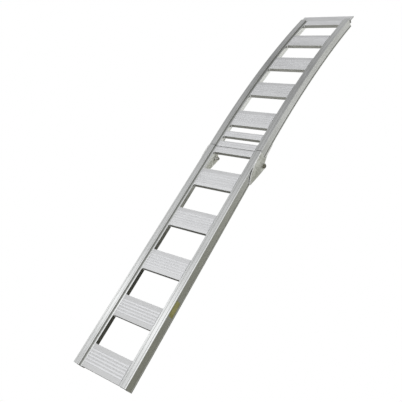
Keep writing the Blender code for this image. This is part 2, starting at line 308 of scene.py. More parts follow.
# Rails: four hollow aluminium extrusions, 48 mm high. Each has a curb on top, an inner shelf
# for the treads and a recessed outer face. They are drawn, sawn to length, and the upper pair
# is then rolled to a gentle arch.
RAILS_END = 2.244
ARC_START = 1.258
ARC_RADIUS = 4.85
RAIL_STATIONS = 72
RAIL_GRAIN = 3.1
SAW_RELIEF = 0.0011
CURB_WIDTH = 0.032
CURB_HEIGHT = 0.0085
SHELF_WIDTH = 0.043
SHELF_BOTTOM = 0.0275
WEB_WIDTH = 0.028
WALL = 0.003
RECESS = 0.003
RECESS_TOP = 0.005
RECESS_BOTTOM = 0.043
RECESS_SLOPE = 0.001
GROOVE_DEPTH = 0.0009
GROOVE_MIDDLES = (0.00875, 0.02575)
SIDES = ((-1, "left"), (1, "right"))


def groove(middle):
    """Corners of a shallow groove in a top face, as x, y and radius."""
    rim, bed = 0.00155, 0.00085
    return [
        (middle - rim, 0, 0.0004),
        (middle - bed, -GROOVE_DEPTH, 0.0003),
        (middle + bed, -GROOVE_DEPTH, 0.0003),
        (middle + rim, 0, 0.0004),
    ]


# x runs inwards from the rail's outer face and y up from its top face
RAIL_SECTION = [
    (0, 0, 0.003),
    *groove(GROOVE_MIDDLES[0]),
    *groove(GROOVE_MIDDLES[1]),
    (CURB_WIDTH, 0, 0.0010),
    (CURB_WIDTH, -CURB_HEIGHT, 0.0007),
    (SHELF_WIDTH, -CURB_HEIGHT, 0.0010),
    (SHELF_WIDTH, -SHELF_BOTTOM, 0.0010),
    (WEB_WIDTH, -SHELF_BOTTOM, 0.0015),
    (WEB_WIDTH, -RAIL_HEIGHT, 0.0010),
    (0, -RAIL_HEIGHT, 0.0015),
    (0, -RECESS_BOTTOM, 0.0008),
    (RECESS, -RECESS_BOTTOM + RECESS_SLOPE, 0.0006),
    (RECESS, -RECESS_TOP - RECESS_SLOPE, 0.0006),
    (0, -RECESS_TOP, 0.0008),
]
RAIL_HOLLOW = [
    (RECESS + WALL, -WALL, 0.0010),
    (CURB_WIDTH - WALL, -WALL, 0.0010),
    (CURB_WIDTH - WALL, -CURB_HEIGHT - WALL, 0.0010),
    (SHELF_WIDTH - WALL, -CURB_HEIGHT - WALL, 0.0010),
    (SHELF_WIDTH - WALL, WALL - SHELF_BOTTOM, 0.0010),
    (WEB_WIDTH - WALL, WALL - SHELF_BOTTOM, 0.0010),
    (WEB_WIDTH - WALL, WALL - RAIL_HEIGHT, 0.0010),
    (RECESS + WALL, WALL - RAIL_HEIGHT, 0.0010),
]


def rounded(corners, steps=4):
    """Outline whose corners, given as x, y and radius, are eased with short curves."""
    points = []
    for k, (x, y, radius) in enumerate(corners):
        corner = Vector((x, y))
        if not radius:
            points.append((x, y))
            continue
        before = (Vector(corners[k - 1][:2]) - corner).normalized()
        after = (Vector(corners[(k + 1) % len(corners)][:2]) - corner).normalized()
        reach = radius / math.tan(before.angle(after) / 2)
        for n in range(steps + 1):
            t = n / steps
            near_end = corner + before * reach * (1 - t) ** 2
            points.append(tuple(near_end + after * reach * t**2))
    return points


def flat_outline(name, outlines):
    """An object of closed edge loops in its XY plane, which the extrusion draws out."""
    work = bmesh.new()
    for points in outlines:
        corners = [work.verts.new((x, y, 0)) for x, y in points]
        for k, corner in enumerate(corners):
            work.edges.new((corner, corners[(k + 1) % len(corners)]))
    mesh = bpy.data.meshes.new(name)
    work.to_mesh(mesh)
    work.free()
    return add_object(name, mesh)


def node_group(name, inputs):
    """An empty geometry tree with named inputs; returns the tree and its inputs' values."""
    group = bpy.data.node_groups.new(name, "GeometryNodeTree")
    sockets = group.interface
    sockets.new_socket("Geometry", in_out="OUTPUT", socket_type="NodeSocketGeometry")
    sockets.new_socket("Geometry", in_out="INPUT", socket_type="NodeSocketGeometry")
    for label, kind in inputs.items():
        sockets.new_socket(label, in_out="INPUT", socket_type="NodeSocket" + kind)
    tree = Tree(group)
    start = group.nodes.new("NodeGroupInput")
    given = {label: Value(tree, start.outputs[label]) for label in ("Geometry", *inputs)}
    return tree, given


def close_group(tree, geometry, metal):
    """Ends a geometry tree with real faces that carry the metal."""
    real = tree.add("GeometryNodeRealizeInstances", {0: geometry})
    coated = tree.add("GeometryNodeSetMaterial", {"Geometry": real, "Material": metal})
    end = tree.tree.nodes.new("NodeGroupOutput")
    tree.fill(end.inputs[0], coated)
    return tree.tree


def evaluated_mesh(obj):
    """A plain mesh of the object as its curve settings or modifiers leave it."""
    bpy.context.view_layer.update()
    graph = bpy.context.evaluated_depsgraph_get()
    return bpy.data.meshes.new_from_object(obj.evaluated_get(graph), depsgraph=graph)


def run_group(obj, group, values):
    """Runs a geometry tree on an object and returns the result as a plain mesh."""
    step = obj.modifiers.new(group.name, "NODES")
    step.node_group = group
    named = {item.name: item.identifier for item in group.interface.items_tree}
    for label, value in values.items():
        step[named[label]] = value
    mesh = evaluated_mesh(obj)
    obj.modifiers.remove(step)
    return mesh


def extrusion_group():
    """A section drawn along Y, bent down to an arc beyond a point, with the run kept for grain."""
    tree, given = node_group(
        "drawn_section",
        {
            "Section": "Object",
            "Near": "Float",
            "Far": "Float",
            "Stations": "Int",
            "Arc start": "Float",
            "Arc radius": "Float",
            "Grain shift": "Float",
            "Metal": "Material",
        },
    )
    outline = tree.add("GeometryNodeObjectInfo", {0: given["Section"]}, "Geometry")
    outline = tree.add("GeometryNodeMeshToCurve", {"Mesh": outline})
    ends = [tree.add("ShaderNodeCombineXYZ", {"Y": given[label]}) for label in ("Near", "Far")]
    line = tree.add("GeometryNodeCurvePrimitiveLine", {"Start": ends[0], "End": ends[1]})
    stations = {"Curve": line, "Count": given["Stations"]}
    line = tree.add("GeometryNodeResampleCurve", stations)
    line = tree.add("GeometryNodeSetCurveNormal", {"Curve": line}, mode="Z_UP")
    over = {"Geometry": outline, "Rotation": (math.pi, 0, 0)}
    profile = tree.add("GeometryNodeTransform", over)
    walls = tree.add("GeometryNodeCurveToMesh", {"Curve": line, "Profile Curve": profile})
    cap = tree.add("GeometryNodeFillCurve", {"Curve": outline})
    upright = (math.pi / 2, 0, 0)
    caps = []
    for end in ends:
        sockets = {"Geometry": cap, "Translation": end, "Rotation": upright}
        caps.append(tree.add("GeometryNodeTransform", sockets))
    caps[1] = tree.add("GeometryNodeFlipFaces", {"Mesh": caps[1]})
    join = tree.tree.nodes.new("GeometryNodeJoinGeometry")
    for part in (walls, *caps):
        tree.tree.links.new(part.socket, join.inputs[0])
    joined = {0: Value(tree, join.outputs[0]), "Distance": MERGE_DISTANCE}
    solid = tree.add("GeometryNodeMergeByDistance", joined)
    place = tree.add("GeometryNodeInputPosition")
    shift = tree.add("ShaderNodeCombineXYZ", {"Y": given["Grain shift"]})
    run = tree.add("ShaderNodeVectorMath", {0: place, 1: shift}, operation="ADD")
    solid = tree.add(
        "GeometryNodeStoreNamedAttribute",
        {"Geometry": solid, "Name": "drawn", "Value": run},
        data_type="FLOAT_VECTOR",
        domain="POINT",
    )
    split = tree.tree.nodes.new("ShaderNodeSeparateXYZ")
    tree.fill(split.inputs[0], place)
    across, along, height = (Value(tree, socket) for socket in split.outputs)
    beyond = along > given["Arc start"]
    turn = (along - given["Arc start"]) * given["Arc radius"].turned("DIVIDE", 1.0)
    bend_along = given["Arc start"] + (given["Arc radius"] + height) * turn.maths("SINE")
    bend_height = (given["Arc radius"] + height) * turn.maths("COSINE") - given["Arc radius"]
    bent = tree.add(
        "ShaderNodeCombineXYZ", {"X": across, "Y": bend_along, "Z": bend_height}
    )
    solid = tree.add(
        "GeometryNodeSetPosition", {"Geometry": solid, "Selection": beyond, "Position": bent}
    )
    return close_group(tree, solid, given["Metal"])


# An arc start beyond every piece's end, so that nothing bends
STRAIGHT = 9.0
drawn_section = extrusion_group()


def extrude(section, near, far, stations, metal, arc=STRAIGHT, shift=0.0):
    """Mesh of a flat outline drawn along Y; arc is where it starts to bend down."""
    values = {
        "Section": section,
        "Near": near,
        "Far": far,
        "Stations": stations,
        "Arc start": arc,
        "Arc radius": ARC_RADIUS,
        "Grain shift": shift,
        "Metal": metal,
    }
    holder = add_object("holder", bpy.data.meshes.new("holder"))
    mesh = run_group(holder, drawn_section, values)
    bpy.data.objects.remove(holder)
    return mesh


def finish_piece(name, mesh, place, body, replaced, sharp=28):
    mesh.transform(place)
    work = bmesh.new()
    work.from_mesh(mesh)
    bmesh.ops.recalc_face_normals(work, faces=work.faces)
    work.to_mesh(mesh)
    work.free()
    mesh.shade_smooth()
    mesh.set_sharp_from_angle(angle=math.radians(sharp))
    mesh.name = name
    piece = add_object(name, mesh)
    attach(piece, body)
    if replaced:
        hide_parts(*replaced)
    return piece


def drawn_metal(name, dark, light, roughness, grime_and_shade):
    """Mill-finish drawn aluminium: die lines along the run, oxide haze, scuffs, and grime with
    painted shade.
    """
    finish = Finish(name)
    run = finish.add("ShaderNodeAttribute", output="Vector", attribute_name="drawn")
    bands = finish.noise(run, (420, 1.1, 420), 3, 0.6)
    lines = finish.noise(run, (2600, 5, 2600), 2, 0.6)
    haze = finish.noise(run, (22, 9, 22), 4, 0.6)
    slanted = finish.add("ShaderNodeMapping", {"Vector": run, "Rotation": (0.3, 0.2, 0.9)})
    scuffs = finish.step(finish.noise(slanted, (40, 900, 300), 2, 0.5), 0.66, 0.74)
    scuffs = scuffs * finish.step(haze, 0.48, 0.66)
    grain = bands * 0.45 + lines * 0.30 + haze * 0.25
    colour = finish.mix(finish.step(grain, 0.32, 0.68), dark, light)
    rough = roughness + (bands - 0.5) * 0.10 + (haze - 0.5) * 0.22 + scuffs * 0.10
    grime_and_shade_amount = grime_and_shade(finish, run)
    # Grime and painted shade, from the rule passed in, darken the colour towards dark olive.
    colour = finish.mix(grime_and_shade_amount, colour, (0.20, 0.20, 0.155, 1))
    rough = rough + grime_and_shade_amount * 0.20
    height_map = lines * 0.6 + bands * 0.5 - scuffs * 0.5
    return finish.dress(
        {
            "Base Color": colour,
            "Metallic": 1.0,
            "Roughness": rough,
            "Normal": finish.bump(height_map, 0.22, 0.00035),
        }
    )


def rail_grime_and_shade(finish, run):
    """Darker in the two grooves, grime with painted shade beside the curb, and darker along the
    ledge of the outer recess.
    """
    side = finish.add("ShaderNodeSeparateXYZ", {0: run}, 0).maths("ABSOLUTE")
    height = finish.add("ShaderNodeSeparateXYZ", {0: run}, 2)
    grooves = finish.step(height, -0.0002, -0.0007) * finish.step(height, -0.0040, -0.0020)
    grooves = grooves * finish.step(side, 0.1186, 0.1192) * finish.step(side, 0.1488, 0.1478)
    # The curb's inner face: grime with painted shade.
    crevice_grime_and_shade = finish.step(side, 0.1150, 0.1176) * finish.step(side, 0.1190, 0.1181)
    crevice_grime_and_shade = crevice_grime_and_shade * finish.step(height, -0.0006, -0.0022) * (height > -0.0100)
    ledge = finish.step(height, -0.0395, -0.0418) * finish.step(height, -0.0440, -0.0431)
    ledge = ledge * (side > 0.1465)
    return grooves * 0.40 + crevice_grime_and_shade * 0.60 + ledge * 0.75


rail_metal = drawn_metal(
    "rail_drawn_aluminium", (0.64, 0.65, 0.65, 1), (0.83, 0.84, 0.84, 1), 0.22, rail_grime_and_shade
)
for side, label in SIDES:
    outlines = []
    for corners in (RAIL_SECTION, RAIL_HOLLOW):
        outlines.append([(side * (WIDTH / 2 - x), y) for x, y in rounded(corners)])
    section = flat_outline("rail_section", outlines)
    for body, near, far, stations in (
        ("lower", 0.0, lower_length - SAW_RELIEF, 2),
        ("upper", SEAM + GAP / 2 + SAW_RELIEF, RAILS_END, RAIL_STATIONS),
    ):
        drawn = extrude(section, near, far, stations, rail_metal, ARC_START, side * RAIL_GRAIN)
        finish_piece(
            f"{body}_{label}_rail_drawn", drawn, standing, f"{body}_section",
            [f"{body}_{label}_rail"],
        )
    bpy.data.objects.remove(section)


# Treads: hollow aluminium planks with flat-topped grip ribs, cut to fit between the shelves.
# The narrow bars on each side of the seam and below the hand gap are the same stock.
TREAD_WIDTH = 0.100
TREAD_THICK = 0.019
TREAD_WALL = 0.0028
RIB_PITCH = 0.013
RIB_HEIGHT = 0.0012
RIB_BASE = 0.0086
RIB_TOP = 0.0072
FIRST_FAR_EDGE = 0.103
LOWER_PITCH = 0.235
UPPER_FIRST_FAR_EDGE = 1.427
UPPER_PITCH = 0.2165
FOOT_TREAD_NEAR = 0.001
LOWER_BAR_NEAR = 1.146
UPPER_BAR_FAR = 1.220
GRAB_BAR = (1.250, 1.285)
TOP_TREAD = (2.192, 2.2437)
TREAD_GRAIN = 1.7
TREAD_LENGTH = WIDTH - 2 * (SHELF_WIDTH + GAP)


def tread_outlines(width, ribs, cells):
    """Outside and cells of a tread's section, with its top face at height 0."""
    half = width / 2
    outside = [(half, 0, 0.0014)]
    for k in range(ribs):
        middle = ((ribs - 1) / 2 - k) * RIB_PITCH
        outside += [
            (middle + RIB_BASE / 2, 0, 0.0003),
            (middle + RIB_TOP / 2, RIB_HEIGHT, 0.0004),
            (middle - RIB_TOP / 2, RIB_HEIGHT, 0.0004),
            (middle - RIB_BASE / 2, 0, 0.0003),
        ]
    outside += [(-half, 0, 0.0014), (-half, -TREAD_THICK, 0.001), (half, -TREAD_THICK, 0.001)]
    inside = (width - (cells + 1) * TREAD_WALL) / cells
    found = [rounded(outside, 3)]
    for k in range(cells):
        left = -half + TREAD_WALL + k * (inside + TREAD_WALL)
        right = left + inside
        low, high = -TREAD_THICK + TREAD_WALL, -TREAD_WALL
        cell = [(left, low), (right, low), (right, high), (left, high)]
        found.append(rounded([(x, y, 0.001) for x, y in cell], 2))
    return found


def station(along, height):
    """Place on the ramp whose X, Y, Z run across, along and up at a distance from the foot."""
    turn = max(0.0, along - ARC_START) / ARC_RADIUS
    if turn:
        y = ARC_START + ARC_RADIUS * math.sin(turn)
        z = ARC_RADIUS * (math.cos(turn) - 1)
    else:
        y, z = along, 0.0
    turned = Matrix.Translation((0, y, z)) @ Matrix.Rotation(-turn, 4, "X")
    return standing @ turned @ Matrix.Translation((0, 0, height))


def tread_darkening(finish, run):
    """Darker between the ribs, most at the ramp's foot, and painted shade on the treads' sides."""
    height = finish.add("ShaderNodeSeparateXYZ", {0: run}, 2)
    place = finish.add("ShaderNodeTexCoord", output="Object")
    along = finish.add("ShaderNodeSeparateXYZ", {0: place}, 1)
    valleys = finish.step(height, -0.0004, 0.0) * finish.step(height, 0.0012, 0.0007)
    # Painted shade on every face below the top: the sides and undersides of the treads and lip.
    side_shade = finish.step(height, -0.0008, -0.0020)
    return valleys * (0.07 + finish.step(along, -0.62, -0.90) * 0.11) + side_shade * 0.62


tread_metal = drawn_metal(
    "tread_drawn_aluminium", (0.82, 0.825, 0.84, 1), (0.95, 0.955, 0.97, 1), 0.55, tread_darkening
)
treads = [("lower_tread_1", FOOT_TREAD_NEAR, FIRST_FAR_EDGE, 5, 3)]
for k in range(1, 5):
    far = FIRST_FAR_EDGE + k * LOWER_PITCH
    treads.append((f"lower_tread_{k + 1}", far - TREAD_WIDTH, far, 5, 3))
treads.append(("lower_hinge_bar", LOWER_BAR_NEAR, lower_length - SAW_RELIEF, 2, 1))
treads.append(("upper_hinge_bar", SEAM + GAP / 2 + SAW_RELIEF, UPPER_BAR_FAR, 2, 1))
treads.append(("upper_grab_bar", *GRAB_BAR, 2, 1))
for k in range(4):
    far = UPPER_FIRST_FAR_EDGE + k * UPPER_PITCH
    treads.append((f"upper_tread_{k + 1}", far - TREAD_WIDTH, far, 5, 3))
treads.append(("top_tread", *TOP_TREAD, 3, 2))
across = Matrix.Rotation(math.pi / 2, 4, "Z")
for k, (name, near, far, ribs, cells) in enumerate(treads):
    section = flat_outline(name, tread_outlines(far - near, ribs, cells))
    half = TREAD_LENGTH / 2
    drawn = extrude(section, -half, half, 2, tread_metal, shift=k * TREAD_GRAIN)
    bpy.data.objects.remove(section)
    drawn.transform(across)
    place = station((near + far) / 2, -CURB_HEIGHT)
    body = name.split("_")[0].replace("top", "upper") + "_section"
    finish_piece(name + "_plank", drawn, place, body, [name])


# Lip: an unequal aluminium angle welded across the tip. Its long leg, planed to a thin nose,
# lies on the tailgate, and its short leg closes the rails' ends.
LIP_LENGTH = 0.047
LIP_THICK = 0.006
LIP_LEG = 0.019
LIP_LEG_THICK = 0.005
LIP_TAPER = 0.004
LIP_GRAIN = 31.0
lip_corners = [
    (-GAP, 0, 0.0004),
    (-GAP, -LIP_LEG, 0.0010),
    (-LIP_LEG_THICK, -LIP_LEG, 0.0012),
    (-LIP_LEG_THICK, -LIP_THICK, 0.0020),
    (-LIP_LENGTH + LIP_TAPER, -LIP_THICK, 0.0015),
    (-LIP_LENGTH, -LIP_THICK + 0.0016, 0.0008),
    (-LIP_LENGTH, -0.0024, 0.0012),
    (-LIP_LENGTH + LIP_TAPER, 0, 0.0020),
]
section = flat_outline("lip_section", [rounded(lip_corners, 5)])
drawn = extrude(section, -WIDTH / 2, WIDTH / 2, 2, tread_metal, shift=LIP_GRAIN)
bpy.data.objects.remove(section)
drawn.transform(Matrix.Rotation(-math.pi / 2, 4, "Z"))
finish_piece(
    "lip_angle_drawn", drawn, station(RAILS_END, -CURB_HEIGHT), "upper_section",
    ["lip_angle"],
)

# Hinge plates: two dart-shaped aluminium plates a side, sawn from 4 mm sheet, deburred and
# welded to the outside and the inside of the lower rail. Both carry the bolt in their lobes.
PLATE_THICK = 0.004
PLATE_LOBE = 0.020
BOLT_RADIUS = 0.006
BOLT_CLEARANCE = 0.0004
BORE = BOLT_RADIUS + BOLT_CLEARANCE
sideways_on = Matrix(((0, 0, 1, 0), (1, 0, 0, 0), (0, 1, 0, 0), (0, 0, 0, 1)))


def arc_corners(radius, start, end, steps):
    """Points of an arc about the bolt, as corners that stay sharp."""
    angles = [math.radians(start + (end - start) * k / steps) for k in range(steps + 1)]
    return [(radius * math.cos(a), radius * math.sin(a)) for a in angles]


def coat(mesh, metal):
    """Gives a mesh one material in place of any it has."""
    mesh.materials.clear()
    mesh.materials.append(metal)


def cut_plate(name, outlines, thickness, burr):
    """Sheet cut to flat outlines, with its edges eased by the size of the burr."""
    data = bpy.data.curves.new(name, "CURVE")
    data.dimensions = "2D"
    data.fill_mode = "BOTH"
    data.extrude = thickness / 2 - burr
    data.bevel_depth = burr
    data.offset = -burr
    data.bevel_resolution = 2
    for points in outlines:
        spline = data.splines.new("POLY")
        spline.points.add(len(points) - 1)
        for point, (x, y) in zip(spline.points, points):
            point.co = (x, y, 0, 1)
        spline.use_cyclic_u = True
    sheet = add_object(name, data)
    mesh = evaluated_mesh(sheet)
    bpy.data.objects.remove(sheet)
    work = bmesh.new()
    work.from_mesh(mesh)
    bmesh.ops.remove_doubles(work, verts=work.verts, dist=MERGE_DISTANCE)
    work.to_mesh(mesh)
    work.free()
    return mesh


def plate_metal():
    """Rolled sheet: fine cross-hatched rolling lines, a cloudy etch and bright nicks."""
    finish = Finish("hinge_sheet_aluminium")
    place = finish.add("ShaderNodeTexCoord", output="Object")
    turned = finish.add("ShaderNodeMapping", {"Vector": place, "Rotation": (0.55, 0, 0)})
    rolling = finish.noise(turned, (300, 60, 1500), 3, 0.6)
    cloud = finish.noise(place, (55, 55, 55), 4, 0.6)
    nicks = finish.step(finish.noise(place, (420, 160, 420), 3, 0.7), 0.66, 0.72)
    tone = finish.step(cloud * 0.65 + rolling * 0.35, 0.34, 0.66)
    colour = finish.mix(tone, (0.55, 0.56, 0.51, 1), (0.90, 0.91, 0.88, 1))
    colour = finish.mix(nicks * 0.8, colour, (0.97, 0.97, 0.95, 1))
    return finish.dress(
        {
            "Base Color": colour,
            "Metallic": 1.0,
            "Roughness": 0.58 + (cloud - 0.5) * 0.3 + nicks * 0.08,
            "Normal": finish.bump(rolling * 0.5 + cloud * 0.6 - nicks * 0.4, 0.35, 0.0004),
        }
    )


plate_finish = plate_metal()
bolt_line = standing @ Matrix.Translation((0, PIVOT_ALONG, -PIVOT_BELOW))
plate_lobe = arc_corners(PLATE_LOBE, -106, 6, 20)
plate_belly = [(-0.125, 0.013, 0.0015), (-0.092, 0.004, 0.01), (-0.066, -0.004, 0.02)]


def plate_outline(top):
    """A plate's outline: its lobe about the bolt, its top corners and its belly."""
    first, last = plate_lobe[0], plate_lobe[-1]
    return plate_lobe[1:-1] + rounded([(*last, 0), *top, *plate_belly, (*first, 0)], 5)


outer_outline = plate_outline(
    [
        (0.032, 0.012, 0.004),
        (0.032, 0.059, 0.003),
        (-0.018, 0.059, 0.012),
        (-0.040, 0.0565, 0.02),
        (-0.072, 0.048, 0.03),
        (-0.101, 0.035, 0.02),
    ]
)
inner_outline = plate_outline(
    [(0.030, 0.012, 0.004), (0.030, 0.032, 0.003), (-0.098, 0.032, 0.003)]
)
bolt_hole = arc_corners(BORE, 0, 360 * 63 / 64, 63)
for side, label in SIDES:
    for layer, outline, depth in (
        ("outer", outer_outline, -GAP - PLATE_THICK / 2),
        ("inner", inner_outline, WEB_WIDTH + GAP + PLATE_THICK / 2),
    ):
        sheet = cut_plate("hinge_plate", [outline, bolt_hole], PLATE_THICK, burr=0.0005)
        coat(sheet, plate_finish)
        place = bolt_line @ Matrix.Translation((side * (WIDTH / 2 - depth), 0, 0))
        name = f"hinge_{label}_{layer}_plate"
        finish_piece(
            name + "_sheet", sheet, place @ sideways_on, "lower_section",
            [name],
        )


# Hinge brackets: a bent channel under each upper rail. Its two cheeks turn on the bolt between
# the lower rail's plates, and its web is welded to the rail's underside.
BRACKET_LOBE = 0.0134
CHEEK = 0.0048
WEB_THICK = 0.0036
BRACKET_END = 0.122
under_rail = PIVOT_BELOW - RAIL_HEIGHT - GAP


def carve(mesh, cutters):
    """Cuts other meshes out of a mesh."""
    holder = add_object("carved", mesh)
    tools = []
    for cutter in cutters:
        tool = add_object("cutter", cutter)
        step = holder.modifiers.new("cut", "BOOLEAN")
        step.operation = "DIFFERENCE"
        step.object = tool
        tools.append(tool)
    result = evaluated_mesh(holder)
    for used in (holder, *tools):
        bpy.data.objects.remove(used)
    return result


def turned_solid(profile, ring=False, segments=48):
    """A solid turned about Z; a profile entry's radius and height may be rules of the angle."""
    work = bmesh.new()
    loops = []
    for entry in profile:
        loop = []
        for k in range(segments):
            angle = 2 * math.pi * k / segments
            radius, height = (part(angle) if callable(part) else part for part in entry)
            place = (radius * math.cos(angle), radius * math.sin(angle), height)
            loop.append(work.verts.new(place))
        loops.append(loop)
    pairs = list(zip(loops, loops[1:]))
    if ring:
        pairs.append((loops[-1], loops[0]))
    else:
        work.faces.new(loops[0])
        work.faces.new(loops[-1])
    for first, second in pairs:
        for k in range(segments):
            n = (k + 1) % segments
            work.faces.new((first[k], first[n], second[n], second[k]))
    bmesh.ops.recalc_face_normals(work, faces=work.faces)
    mesh = bpy.data.meshes.new("turned")
    work.to_mesh(mesh)
    work.free()
    return mesh


lobe = arc_corners(BRACKET_LOBE, 115, 285, 24)
eased = [(0.058, 0.0080, 0.012), (0.120, 0.0102, 0.001), (BRACKET_END, under_rail, 0.0008)]
eased += [(0.004, under_rail, 0.0008)]
bracket_outline = lobe[1:-1] + rounded([(*lobe[-1], 0), *eased, (*lobe[0], 0)], 4)
for side, label in SIDES:
    block = cut_plate("hinge_bracket", [bracket_outline], WEB_WIDTH, burr=0.0008)
    half = WEB_WIDTH / 2 - CHEEK
    low, top = -0.03, under_rail - WEB_THICK
    outline = [(-0.03, low), (0.13, low), (0.13, top), (-0.03, top)]
    channel = cut_plate("channel", [outline], 2 * half, burr=0.0012)
    drill = turned_solid([(BORE, -0.02), (BORE, 0.02)], segments=64)
    bracket = carve(block, [channel, drill])
    coat(bracket, plate_finish)
    middle = side * (WIDTH / 2 - WEB_WIDTH / 2)
    name = f"hinge_{label}_bracket"
    finish_piece(
        name + "_channel", bracket, bolt_line @ Matrix.Translation((middle, 0, 0)) @ sideways_on,
        "upper_section", [name],
    )


# Pivots: a zinc-plated 12 mm bolt a side with a dished hexagon head, a washer under its head
# and under its self-locking nut, and a turned spacer between the bracket's cheeks.
HEAD_RADIUS = 0.0110
HEAD_HEIGHT = 0.0075
NUT_HEIGHT = 0.0108
WASHER_RADIUS = 0.0140
WASHER_THICK = 0.0025
SPACER_RADIUS = 0.0100
THREAD_PITCH = 0.00125
THREAD_DEPTH = 0.0006
HEX_HEIGHT = 0.0074
CHAMFER_RIM = 0.985
flat = HEAD_RADIUS * math.cos(math.radians(30))


def hexagon(angle):
    return flat / math.cos(angle % math.radians(60) - math.radians(30))


def chamfered(height, outward):
    """Edge of a hexagon's turned chamfer, lower at the corners than on the flats."""
    return lambda angle: height - outward * (hexagon(angle) - flat * CHAMFER_RIM) * 0.55


def zinc_plate(name, yellow, blue):
    """Zinc plating: faint yellow and blue cast, fine grain and rubbed marks."""
    finish = Finish(name)
    place = finish.add("ShaderNodeTexCoord", output="Object")
    cast = finish.noise(place, (140, 140, 140), 2, 0.5)
    grain = finish.noise(place, (1400, 1400, 1400), 2, 0.6)
    rubbed = finish.step(finish.noise(place, (500, 180, 500), 3, 0.6), 0.58, 0.68)
    colour = finish.mix(finish.step(cast, 0.35, 0.65), yellow, blue)
    colour = finish.mix(rubbed * 0.5, colour, (0.42, 0.41, 0.38, 1))
    return finish.dress(
        {
            "Base Color": colour,
            "Metallic": 1.0,
            "Roughness": 0.26 + (grain - 0.5) * 0.2 + rubbed * 0.2,
            "Normal": finish.bump(grain * 0.5 - rubbed * 0.3, 0.25, 0.0002),
        }
    )


dull_zinc = zinc_plate("dull_zinc_steel", (0.24, 0.23, 0.17, 1), (0.29, 0.29, 0.27, 1))
bright_zinc = zinc_plate("bright_zinc_steel", (0.84, 0.83, 0.76, 1), (0.88, 0.89, 0.91, 1))
outer_face = GAP + PLATE_THICK + GAP
inner_face = -(WEB_WIDTH + GAP + PLATE_THICK + GAP)
seat = outer_face + WASHER_THICK + GAP
nut_seat = inner_face - WASHER_THICK - GAP
nut_top = nut_seat - NUT_HEIGHT
thread = []
for k in range(12):
    height = nut_top + 0.0038 - k * THREAD_PITCH / 2
    thread.append((BOLT_RADIUS - (THREAD_DEPTH if k % 2 else 0.0), height))
bolt_profile = [
    (0.0040, seat + 0.0025),
    (0.0046, seat + 0.0031),
    (0.0048, seat + HEAD_HEIGHT - 0.0005),
    (0.0054, seat + HEAD_HEIGHT),
    (flat * CHAMFER_RIM, seat + HEAD_HEIGHT - 0.0002),
    (hexagon, chamfered(seat + HEAD_HEIGHT - 0.0002, 1)),
    (hexagon, seat + 0.0004),
    (flat * 0.97, seat),
    (BOLT_RADIUS, seat),
    *thread,
    (BOLT_RADIUS - 0.0009, nut_top - 0.003),
    (BOLT_RADIUS - 0.0016, nut_top - 0.003),
]
nut_profile = [
    (BORE, nut_seat),
    (flat * CHAMFER_RIM, nut_seat),
    (hexagon, chamfered(nut_seat, 1)),
    (hexagon, chamfered(nut_seat - HEX_HEIGHT, -1)),
    (flat * CHAMFER_RIM, nut_seat - HEX_HEIGHT),
    (flat * 0.93, nut_seat - 0.0078),
    (flat * 0.93, nut_seat - 0.0094),
    (flat * 0.88, nut_top + 0.0004),
    (flat * 0.80, nut_top),
    (BORE + 0.0006, nut_top),
    (BORE, nut_top + 0.0006),
]


def ring_profile(radius, bore, top, bottom, edge):
    return [
        (bore + edge, top), (radius - edge, top), (radius, top - edge), (radius, bottom + edge),
        (radius - edge, bottom), (bore + edge, bottom), (bore, bottom + edge), (bore, top - edge),
    ]


washer_sizes = (WASHER_RADIUS, BORE)
rings = {
    "head_washer": ring_profile(*washer_sizes, outer_face + WASHER_THICK, outer_face, 0.0004),
    "nut_washer": ring_profile(*washer_sizes, inner_face, inner_face - WASHER_THICK, 0.0004),
    "nut": nut_profile,
    "spacer": ring_profile(SPACER_RADIUS, BORE, -CHEEK - GAP, -WEB_WIDTH + CHEEK + GAP, 0.0006),
}
for side, label in SIDES:
    outward = Matrix.Rotation(side * math.pi / 2, 4, "Y")
    place = bolt_line @ Matrix.Translation((side * WIDTH / 2, 0, 0)) @ outward
    turned_parts = {"bolt": turned_solid(bolt_profile)}
    for part, profile in rings.items():
        turned_parts[part] = turned_solid(profile, ring=True)
    for part, mesh in turned_parts.items():
        mesh.materials.append(dull_zinc if part == "bolt" else bright_zinc)
        body = "upper_section" if part == "spacer" else "lower_section"
        name = f"pivot_{label}_{part}"
        finish_piece(name + "_turned", mesh, place, body, [name], 24)


# Welds: hand-laid beads that join the treads to the shelves, the hinge plates and brackets to
# the rails, and the lip to the top tread. Each bead is a row of overlapping scallops.
BEAD_PITCH = 0.0019
BEAD_RADIUS = 0.0023
HEAVY_PITCH = 0.0028
HEAVY_RADIUS = 0.0033
BEAD_SINK = 0.0002
TREAD_WELD_INSET = 0.004
TREAD_WELD_STOPS = 4
SEAM_MARGIN = 0.002
LIP_WELD_REACH = 0.103


